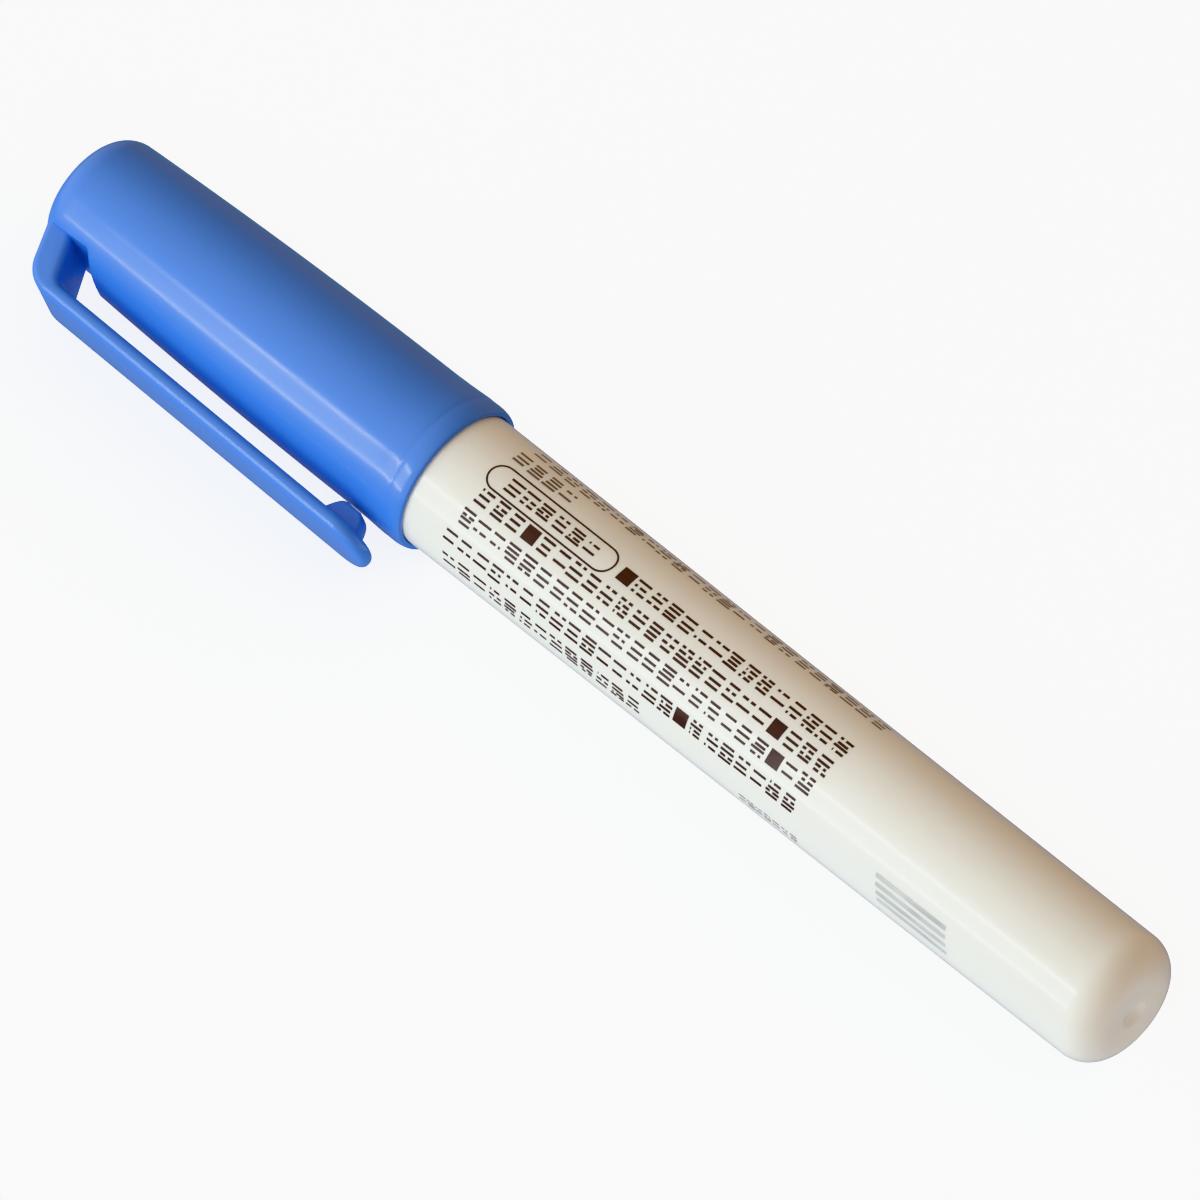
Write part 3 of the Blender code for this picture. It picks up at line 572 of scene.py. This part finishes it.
def make_barrel(looks):
    """A tube with a neck for the cap and a closed, rounded end that has a moulding gate mark."""
    fillet_x = PEN_LENGTH - BARREL_END_FILLET
    bowl = (GATE_RADIUS**2 + GATE_DEPTH**2) / (2 * GATE_DEPTH)
    half = math.degrees(math.asin(GATE_RADIUS / bowl))
    outline = [(BARREL_FLOOR_X, 0)] + arc(BARREL_FLOOR_X - 1.8, 4.2, 1.8, 0, 90, 8)
    outline += [(44.0, 6.0), (44.0, 6.3), (38.15, 6.3), (38.0, 6.45), (38.0, 6.75)]
    outline += arc(38.2, 6.75, 0.2, 180, 90, 4)
    outline += [(BARREL_SHOULDER_X, 6.95), (BARREL_SHOULDER_X, 7.10)]
    outline += arc(BARREL_SHOULDER_X + 0.15, 7.09, 0.15, 180, 90, 4)
    side_x = BARREL_SHOULDER_X + 0.3
    outline += line((side_x, barrel_radius(side_x)), (fillet_x, BARREL_END_RADIUS), 24)
    outline += arc(fillet_x, BARREL_END_RADIUS - BARREL_END_FILLET, BARREL_END_FILLET, 90, 0, 20)
    outline += arc(PEN_LENGTH - 0.12, GATE_RADIUS + 0.12, 0.12, 0, -60, 3)
    outline += arc(PEN_LENGTH - GATE_DEPTH + bowl, 0, bowl, 180 - half * 0.9, 180, 8)
    barrel = turned("barrel_moulding", outline, closed=False)
    combine(barrel, radial_boxes("splines", 6, (121.5, 135.2), (5.0, 6.5), 1.0), "UNION")
    put(barrel, "barrel", looks["barrel"], "barrel")


def face_angle(turn):
    """The angle round the axis, from +y, of the line turn degrees below the one that faces the camera."""
    clip_part, width_part = math.sin(VIEW_ROLL), math.cos(VIEW_ROLL)
    a = math.radians(turn)
    reach = clip_part * math.cos(a) + width_part * math.sin(a)
    width = width_part * math.cos(a) - clip_part * math.sin(a)
    return math.atan2(width, -reach)


def wrap(x, across, row, height):
    """A point of the print: x along the barrel, across the row in mm, height above the barrel."""
    r = barrel_radius(x)
    angle = face_angle(row + math.degrees(across / r))
    return Vector((x, (r + height) * math.cos(angle), (r + height) * math.sin(angle)))


def ink_ring(bm, row, outline, hole):
    """A thin closed film of ink between two outlines of (x, across) points."""
    rings = []
    edges = ((hole, INK_LIFT), (outline, INK_LIFT), (outline, -INK_DEPTH), (hole, -INK_DEPTH))
    for points, height in edges:
        rings.append([bm.verts.new(wrap(x, y, row, height)) for x, y in points])
    for near, far in zip(rings, rings[1:] + rings[:1]):
        for i in range(len(outline)):
            j = (i + 1) % len(outline)
            bm.faces.new((near[i], near[j], far[j], far[i]))


def rounded_box(inset):
    """The rounded frame's outline, drawn in by inset."""
    half = RING_HALF_HEIGHT - inset
    radius = half - 0.01
    left, right = RING_X[0] + inset + radius, RING_X[1] - inset - radius
    points = []
    for x, y, start in ((right, 0.01, 0), (left, 0.01, 90), (left, -0.01, 180), (right, -0.01, 270)):
        points += arc(x, y, radius, start, start + 90, 10)
    return points


def ink_bar(bm, row, x0, x1, y0, y1):
    """A bar of ink that follows the barrel's curve."""
    strips = max(1, round((y1 - y0) / INK_STRIP))
    top = [(x0, y0 + (y1 - y0) * i / strips) for i in range(strips + 1)]
    bottom = [(x1, y) for _, y in top]
    rings = []
    for height in (INK_LIFT, -INK_DEPTH):
        rings.append([[bm.verts.new(wrap(x, y, row, height)) for x, y in side] for side in (top, bottom)])
    (a, b), (c, d) = rings
    for i in range(strips):
        bm.faces.new((a[i], a[i + 1], b[i + 1], b[i]))
        bm.faces.new((c[i], d[i], d[i + 1], c[i + 1]))
        bm.faces.new((a[i], c[i], c[i + 1], a[i + 1]))
        bm.faces.new((b[i], b[i + 1], d[i + 1], d[i]))
    bm.faces.new((a[0], b[0], d[0], c[0]))
    bm.faces.new((a[-1], c[-1], d[-1], b[-1]))


def dashes(bm, rng, row, start, end, size, pitch, squares):
    """A row of print: groups of short dashes at an even pitch, with solid squares where a clause starts."""
    groups = round((end - start) / pitch)
    for n in range(groups):
        x = start + n * pitch
        middle = x + pitch / 2
        if any(abs(middle - b) < pitch * 0.5 for b in squares):
            reach = size * SQUARE_HALF
            ink_bar(bm, row, middle - reach, middle + reach, -reach, reach)
            continue
        for line_at in rng.choice(DASH_GROUPS):
            across = (line_at + rng.uniform(-0.03, 0.03)) * size
            half = INK_STROKE * size * 0.5
            split = rng.choice((0, 0, rng.uniform(0.3, 0.6)))
            first = x + rng.uniform(0.05, 0.2) * pitch
            last = x + rng.uniform(0.78, 0.93) * pitch
            if split:
                ink_bar(bm, row, first, x + (split - 0.08) * pitch, across - half, across + half)
                first = x + (split + 0.08) * pitch
            ink_bar(bm, row, first, last, across - half, across + half)


def make_print(looks):
    """Rows of plain dashes where the barrel has its print, some in a lighter ink that is painted glare, one
    rounded frame, and a mark of four bars.
    """
    rng = random.Random(7)
    bm = bmesh.new()
    for row in DARK_ROWS:
        dashes(bm, rng, *row)
    ink_ring(bm, RING_ROW, rounded_box(0), rounded_box(RING_STROKE))
    put(finish_mesh(bm, "barrel_print"), "barrel", looks["ink"], sharp=60)

    # The rows near the barrel's edges get the lighter ink, which is painted glare on real print.
    bm = bmesh.new()
    for row in GLARE_PAINTED_ROWS:
        dashes(bm, rng, *row)
    put(finish_mesh(bm, "barrel_glare_painted_print"), "barrel", looks["glare_painted_ink"], sharp=60)

    bm = bmesh.new()
    for x0, x1, at in MARK_BARS:
        ink_bar(bm, MARK_ROW, x0, x1, at - MARK_STROKE / 2, at + MARK_STROKE / 2)
    put(finish_mesh(bm, "barrel_mark"), "barrel", looks["grey_ink"], sharp=60)


# ---------------------------------------------------------------- refill


def make_nozzle(looks):
    outline = arc(18.35, 4.35, 0.35, 270, 90, 10)
    outline += [(22.2, 4.95), (23.0, 5.2), (23.15, 5.25), (25.85, 5.25), (26.5, 5.1), (33.0, 5.1)]
    outline += [(33.0, 4.45), (38.7, 4.45), (38.7, 4.0)]
    put(turned("nozzle_tube", outline), "turning_front", looks["natural"], "nozzle")


def make_twist_collar(looks):
    """A grip ring with rounded ribs along it."""
    ribs, height, ribbed_radius = 24, 0.25, 6.3
    outline = [(28.0, 5.4), (28.0, 5.7)] + arc(28.3, 5.75, 0.3, 180, 100, 4)
    outline += [(29.6, 6.2)] + [(30.0 + 0.4 * i, ribbed_radius) for i in range(18)]
    outline += [(37.2, 6.2), (37.55, 6.2), (37.7, 6.05), (37.7, 6.0), (43.5, 6.0), (43.5, 5.4)]
    collar = turned("twist_grip", outline, sides=192)
    for v in collar.data.vertices:
        radius = math.hypot(v.co.y, v.co.z)
        if abs(radius - ribbed_radius) < 0.01:
            fade = min(1, (v.co.x - 29.8) / 0.8, (37.0 - v.co.x) / 0.8)
            wave = max(0, math.cos(ribs * math.atan2(v.co.z, v.co.y))) ** 0.6
            grow = 1 + height * max(fade, 0) * wave / radius
            v.co.y *= grow
            v.co.z *= grow
    put(collar, "turning_front", looks["white"], "twist_collar")


def make_refill_tube(looks):
    outline = [(33.3, 4.75), (33.3, 5.0), (33.4, 5.1), (90.9, 5.1), (91.0, 5.0), (91.0, 4.5), (84.9, 4.5)]
    outline += [(84.9, 4.1), (39.0, 4.1), (39.0, 4.75)]
    wall = turned("refill_tube_wall", outline)
    put(wall, "turning_front", looks["natural"], "refill_tube")


def make_tail_sleeve(looks):
    outline = [(85.2, 0), (85.2, 4.0), (85.3, 4.1), (87.3, 4.1), (87.3, 3.4), (88.7, 3.4), (88.7, 4.1)]
    outline += [(91.3, 4.1), (91.3, 5.35), (91.45, 5.5)]
    outline += [(131.3, 5.5), (131.5, 5.3), (131.5, 4.0), (92.8, 4.0), (92.8, 0)]
    sleeve = turned("tail_sleeve_tube", outline, closed=False, sides=96)
    hole = turned("rod_hole", [(84, 0), (84, 2.2), (94, 2.2), (94, 0)], closed=False, sides=48)
    for v in hole.data.vertices:
        v.co.z = min(max(v.co.z, -1.8), 1.8)
    combine(sleeve, hole, "DIFFERENCE")
    combine(sleeve, radial_boxes("grooves", 6, (121.2, 132.5), (4.7, 6.5), 1.6), "DIFFERENCE")
    put(sleeve, "refill", looks["white"], "tail_sleeve")


def make_drag_ring(looks):
    ring = turned("drag_o_ring", arc(88.0, 3.95, 0.45, 0, 360, 20)[:-1])
    put(ring, "refill", looks["rubber"], "drag_ring")


def make_stick_holder(looks):
    outline = [(68.1, 0), (68.1, 0.8), (68.2, 0.9), (71.8, 0.9), (71.8, 3.5), (71.9, 3.6)]
    outline += [(73.7, 3.6), (73.8, 3.5), (73.8, 2.5), (77.2, 2.5), (77.2, 1.7), (74.6, 1.7), (74.6, 0)]
    cup = turned("stick_cup", outline, closed=False, sides=96)
    put(cup, "stick", looks["white"], "stick_holder")


def make_glue_stick(looks):
    """The stick, with a softly worn dome."""
    angles = [math.pi / 2 * i / 14 for i in range(15)]
    outline = [(19.5 + 1.4 * (1 - math.cos(a)), 3.6 * math.sin(a)) for a in angles]
    outline += line((21.4, 3.6), (71.5, 3.6), 50) + [(71.5, 3.6), (71.5, 1.2), (67.8, 1.2), (67.8, 0)]
    stick = turned("glue_stick_body", outline, closed=False)
    rng = random.Random(3)
    waves = [(rng.uniform(0.2, 0.6), rng.randint(1, 5), rng.uniform(0, 6.28)) for _ in range(6)]
    for v in stick.data.vertices:
        radius = math.hypot(v.co.y, v.co.z)
        if radius > 1.5 and v.co.x < 71.0:
            angle = math.atan2(v.co.z, v.co.y)
            sag = sum(math.sin(f * v.co.x + n * angle + p) for f, n, p in waves) * STICK_WAVE - STICK_WEAR
            v.co.y *= 1 + sag / radius
            v.co.z *= 1 + sag / radius
    put(stick, "stick", looks["glue"], "glue_stick")


def paint_carried_nodes(looks):
    """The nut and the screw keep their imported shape."""
    for node in ("feed_nut", "push_rod"):
        piece = frame["nodes"][node]
        piece.data.materials.clear()
        piece.data.materials.append(looks["white"])


# ---------------------------------------------------------------- stage


def pen_vector(along, reach, width):
    """A direction given along the axis, out towards the clip, and along the clip's width."""
    return (PEN.to_3x3() @ Vector((along, -reach, width))).normalized()


def make_camera():
    view = pen_vector(
        math.sin(VIEW_ALONG),
        math.cos(VIEW_ALONG) * math.sin(VIEW_ROLL),
        math.cos(VIEW_ALONG) * math.cos(VIEW_ROLL),
    )
    side = pen_vector(0, math.cos(VIEW_ROLL), -math.sin(VIEW_ROLL))
    along = side.cross(view).normalized()
    if along.dot(pen_vector(1, 0, 0)) < 0:
        along = -along
    right = along * math.cos(AXIS_DROP) - side * math.sin(AXIS_DROP)
    up = -(along * math.sin(AXIS_DROP) + side * math.cos(AXIS_DROP))
    target = PEN @ Vector((TARGET[0] * MM, 0, 0)) + side * TARGET[1] * MM
    camera = bpy.data.cameras.new("camera")
    camera.sensor_width = SENSOR
    camera.lens = SENSOR * CAMERA_DISTANCE / FRAME_WIDTH
    camera.clip_start = 0.01
    camera.clip_end = 60
    holder = bpy.data.objects.new("camera", camera)
    bpy.context.scene.collection.objects.link(holder)
    turn = Matrix((right, up, right.cross(up))).transposed().to_4x4()
    turn.translation = target + right.cross(up) * CAMERA_DISTANCE
    holder.matrix_world = turn
    bpy.context.scene.camera = holder


def area_light(name, place, size, power, colour, only=None):
    """A rectangular lamp that faces the pen; only names the one object that it lights."""
    lamp = bpy.data.lights.new(name, "AREA")
    lamp.shape = "RECTANGLE"
    lamp.size, lamp.size_y = size
    lamp.energy = power
    lamp.color = colour
    holder = bpy.data.objects.new(name, lamp)
    bpy.context.scene.collection.objects.link(holder)
    holder.location = place
    holder.rotation_euler = (-Vector(place)).to_track_quat("-Z", "Y").to_euler()
    holder.visible_camera = False
    if only:
        lit = bpy.data.collections.new(name)
        lit.objects.link(only)
        holder.light_linking.receiver_collection = lit


def mixed(tree, share, first, second):
    """A node socket that goes from the first colour to the second; each is a socket or three numbers."""
    mix = tree.nodes.new("ShaderNodeMix")
    mix.data_type = "RGBA"
    tree.links.new(share, mix.inputs["Factor"])
    for colour, socket in ((first, mix.inputs["A"]), (second, mix.inputs["B"])):
        if isinstance(colour, tuple):
            socket.default_value = (*colour, 1)
        else:
            tree.links.new(colour, socket)
    return mix.outputs["Result"]


def make_world():
    """The tent, hidden from the camera by a plain pale backdrop."""
    world = bpy.data.worlds.new("studio_tent")
    world.use_nodes = True
    tree = world.node_tree
    direction = tree.nodes.new("ShaderNodeTexCoord").outputs["Generated"]
    facing = tree.nodes.new("ShaderNodeVectorMath")
    facing.operation = "DOT_PRODUCT"
    facing.inputs[1].default_value = TENT_FRONT.normalized()
    tree.links.new(direction, facing.inputs[0])
    spread = tree.nodes.new("ShaderNodeMapRange")
    spread.inputs["From Min"].default_value = -1
    tree.links.new(facing.outputs["Value"], spread.inputs["Value"])
    ramp = tree.nodes.new("ShaderNodeValToRGB")
    tree.links.new(spread.outputs["Result"], ramp.inputs["Fac"])
    stops = ramp.color_ramp.elements
    for _ in range(len(TENT) - 2):
        stops.new(0.5)
    for stop, (place, colour) in zip(stops, TENT):
        stop.position = place
        stop.color = (*colour, 1)
    height = tree.nodes.new("ShaderNodeSeparateXYZ")
    tree.links.new(direction, height.inputs["Vector"])
    sink = tree.nodes.new("ShaderNodeMapRange")
    sink.interpolation_type = "SMOOTHSTEP"
    sink.inputs["From Min"].default_value = UNDERSIDE_HEIGHT[0]
    sink.inputs["From Max"].default_value = UNDERSIDE_HEIGHT[1]
    tree.links.new(height.outputs["Z"], sink.inputs["Value"])
    ray = tree.nodes.new("ShaderNodeLightPath").outputs
    underside = mixed(tree, ray["Is Glossy Ray"], UNDERSIDE_ON_MATT, UNDERSIDE_ON_GLOSS)
    tent = mixed(tree, sink.outputs["Result"], ramp.outputs["Color"], underside)
    seen = mixed(tree, ray["Is Camera Ray"], tent, BACKDROP)
    tree.links.new(seen, tree.nodes["Background"].inputs["Color"])
    bpy.context.scene.world = world


def make_floor():
    """A pale floor whose light on the pen comes from the tent below the horizon instead."""
    bm = bmesh.new()
    bmesh.ops.create_grid(bm, x_segments=1, y_segments=1, size=FLOOR_HALF_SIZE)
    mesh = bpy.data.meshes.new("floor")
    bm.to_mesh(mesh)
    bm.free()
    floor = bpy.data.objects.new("floor", mesh)
    floor.location.z = -FLOOR_DROP
    bpy.context.scene.collection.objects.link(floor)
    m = Nodes("pale_floor")
    colour = m.ramp(m.noise(8, 2.0), (0.24, 0.245, 0.25), (0.26, 0.265, 0.27))
    m.join(colour, m.shader.inputs["Base Color"])
    m.set(Roughness=0.9, Specular_IOR_Level=0.2, Emission_Color=(1, 1, 1, 1), Emission_Strength=FLOOR_GLOW)
    floor.data.materials.append(m.material)
    floor.visible_glossy = False
    floor.visible_diffuse = False
    return floor


def make_stage():
    floor = make_floor()
    make_world()
    for lamp in LAMPS:
        area_light(*lamp)
    area_light(*FLOOR_LAMP, only=floor)
    bpy.context.scene.view_settings.view_transform = "Khronos PBR Neutral"


def main():
    looks = make_materials()
    make_barrel(looks)
    make_print(looks)
    make_cap(looks)
    make_inner_cap(looks)
    make_nozzle(looks)
    make_twist_collar(looks)
    make_refill_tube(looks)
    make_tail_sleeve(looks)
    make_drag_ring(looks)
    make_stick_holder(looks)
    make_glue_stick(looks)
    paint_carried_nodes(looks)
    make_camera()
    make_stage()


main()
